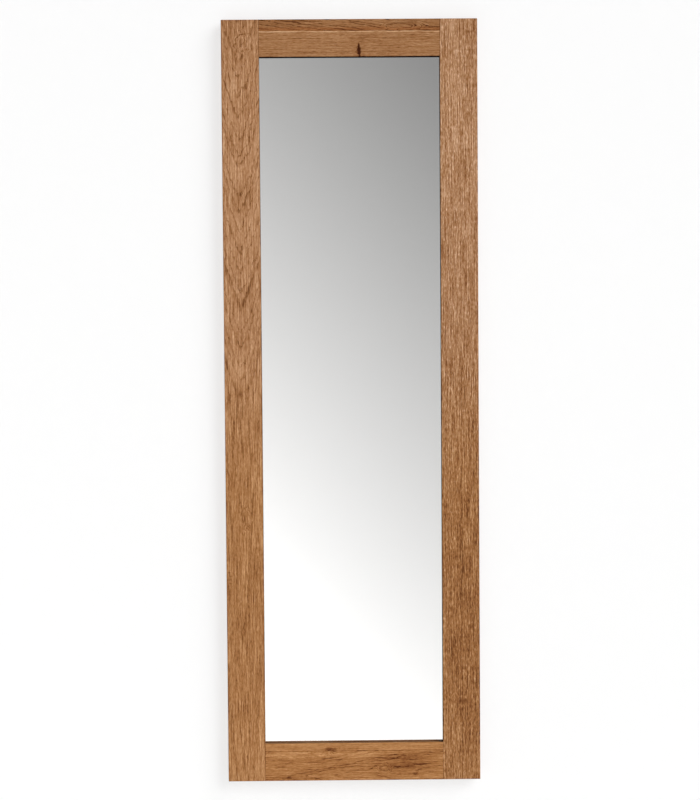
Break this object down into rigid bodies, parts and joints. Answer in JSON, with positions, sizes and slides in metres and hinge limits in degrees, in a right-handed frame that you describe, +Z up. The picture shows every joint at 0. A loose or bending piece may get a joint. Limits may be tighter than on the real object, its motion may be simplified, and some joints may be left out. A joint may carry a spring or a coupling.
{
  "type": "framed wall mirror",
  "caption": "Tall rectangular wall mirror in a flat solid oak frame, hung on the wall by ring hangers on its back.",
  "frame": {"origin": "midpoint between the two hanger rings' pivots, on the wall plane that the flat ends of the rubber bumpers touch", "axes": "+X to the right seen from the front, +Y towards the wall, +Z up; the mirror looks along -Y"},
  "size_m": [0.6, 0.0315, 1.8],
  "materials": {
    "left_stile_oak": "oiled oak, satin",
    "right_stile_oak": "oiled oak, satin",
    "top_rail_oak": "oiled oak, satin",
    "bottom_rail_oak": "oiled oak, satin",
    "glass": "clear float glass, ground edges",
    "silver": "silvered, grey paint on the back",
    "hardboard": "brown hardboard",
    "foam": "closed-cell foam",
    "spacer_rubber": "soft rubber",
    "screw_steel": "zinc-plated steel",
    "strap_steel": "zinc-plated steel strip",
    "ring_steel": "zinc-plated steel wire",
    "bumper_rubber": "black rubber"
  },
  "bodies": {
    "frame": {"left_stile": "left_stile_oak", "right_stile": "right_stile_oak", "top_rail": "top_rail_oak", "bottom_rail": "bottom_rail_oak", "mirror_glass": "glass", "silver_coating": "silver", "backing_board": "hardboard", "foam_strip_left": "foam", "foam_strip_right": "foam", "foam_strip_bottom": "foam", "foam_strip_top": "foam", "setting_block_left": "spacer_rubber", "setting_block_right": "spacer_rubber", "side_spacer_lower_left": "spacer_rubber", "side_spacer_upper_left": "spacer_rubber", "side_spacer_lower_right": "spacer_rubber", "side_spacer_upper_right": "spacer_rubber", "backing_board_screws": "screw_steel", "hanger_strap_left": "strap_steel", "hanger_screws_left": "screw_steel", "hanger_strap_right": "strap_steel", "hanger_screws_right": "screw_steel", "wall_bumper_upper_left": "bumper_rubber", "wall_bumper_upper_right": "bumper_rubber", "wall_bumper_lower_left": "bumper_rubber", "wall_bumper_lower_right": "bumper_rubber"},
    "ring_left": {"hanger_ring_left": "ring_steel"},
    "ring_right": {"hanger_ring_right": "ring_steel"}
  },
  "joints": [
    {"name": "ring_left_hinge", "type": "hinge", "parent": "frame", "child": "ring_left", "pos_m": [-0.26675, -0.0034, 0], "axis": [1, 0, 0], "range_deg": [0, 179.5]},
    {"name": "ring_right_hinge", "type": "hinge", "parent": "frame", "child": "ring_right", "pos_m": [0.26675, -0.0034, 0], "axis": [1, 0, 0], "range_deg": [0, 179.5]}
  ]
}
